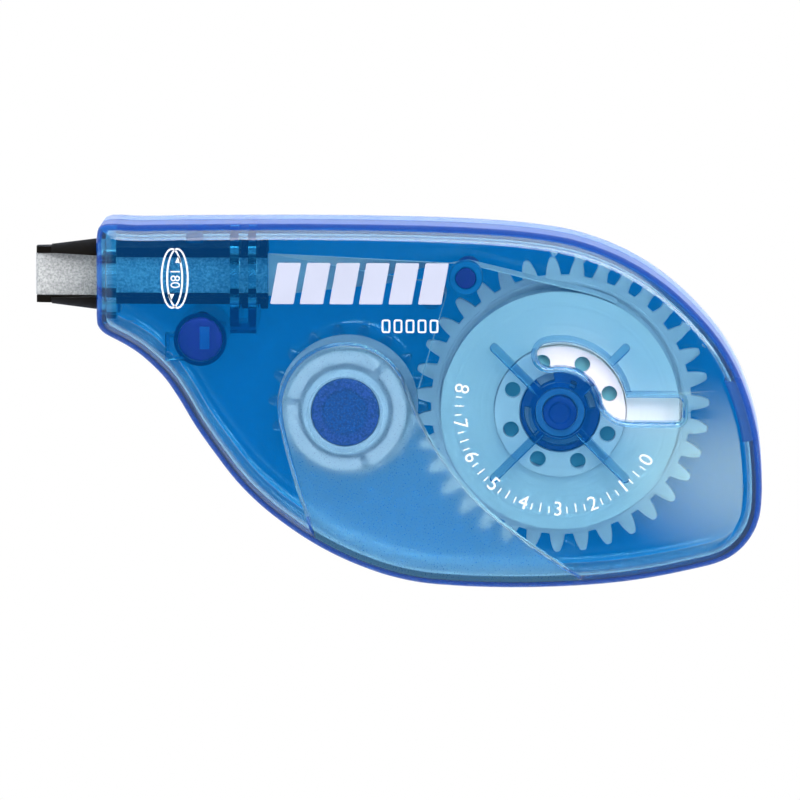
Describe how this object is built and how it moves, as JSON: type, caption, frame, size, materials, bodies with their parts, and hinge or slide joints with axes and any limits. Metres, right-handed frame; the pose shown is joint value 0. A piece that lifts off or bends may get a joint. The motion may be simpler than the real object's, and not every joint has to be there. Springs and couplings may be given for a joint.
{
  "type": "correction tape roller",
  "caption": "Flat clear-blue correction tape roller with geared supply and take-up reels, a slip clutch and a swivelling tape tip.",
  "frame": {"origin": "centre of the bounding box in X and Y, on the back cover's outer face", "axes": "+X along the body away from the tip, +Y across it towards the edge the tip is on, +Z out of the front cover"},
  "size_m": [0.0864, 0.0433, 0.014],
  "materials": {
    "clear_blue": "clear tinted gloss, frosted thumb rest",
    "deep_blue": "tinted gloss",
    "pale_blue": "natural translucent satin",
    "white_plastic": "satin",
    "white_tape": "matte",
    "grey_film": "fine speckled sheen",
    "black_plastic": "satin gloss"
  },
  "bodies": {
    "housing": {"back_cover": "clear_blue", "front_cover": "clear_blue", "snap_pin": "deep_blue", "supply_axle": "deep_blue", "takeup_axle": "deep_blue", "guide_pin": "deep_blue", "guide_post": "deep_blue", "fresh_tape_run": "white_tape", "fresh_tape_twist": "white_tape", "used_film_run": "grey_film", "used_film_twist": "grey_film"},
    "gear_wheel": {"supply_gear": "pale_blue", "clutch_ring": "deep_blue"},
    "reel_core": {"supply_core": "white_plastic", "tape_coil": "white_tape"},
    "takeup": {"takeup_gear": "deep_blue", "takeup_spool": "pale_blue", "takeup_ring": "white_plastic", "used_film_coil": "grey_film"},
    "tip": {"tip_barrel": "black_plastic", "tip_blade": "black_plastic", "tip_fresh_tape": "white_tape", "tip_used_film": "grey_film"}
  },
  "joints": [
    {"name": "gear_spin", "type": "hinge", "parent": "housing", "child": "gear_wheel", "pos_m": [0.01925, -0.00085, 0.003], "axis": [0, 0, 1], "continuous": true},
    {"name": "core_slip", "type": "hinge", "parent": "gear_wheel", "child": "reel_core", "pos_m": [0.01925, -0.00085, 0.007], "axis": [0, 0, 1], "continuous": true},
    {"name": "takeup_spin", "type": "hinge", "parent": "housing", "child": "takeup", "pos_m": [-0.00619, -0.00085, 0.007], "axis": [0, 0, 1], "continuous": true},
    {"name": "tip_swivel", "type": "hinge", "parent": "housing", "child": "tip", "pos_m": [-0.03, 0.015, 0.007], "axis": [1, 0, 0], "range_deg": [0, 180], "deforming": ["fresh_tape_twist", "used_film_twist"]}
  ],
  "couplings": [
    {"joint": "takeup_spin", "follows": "gear_spin", "ratio": -1.9444}
  ]
}
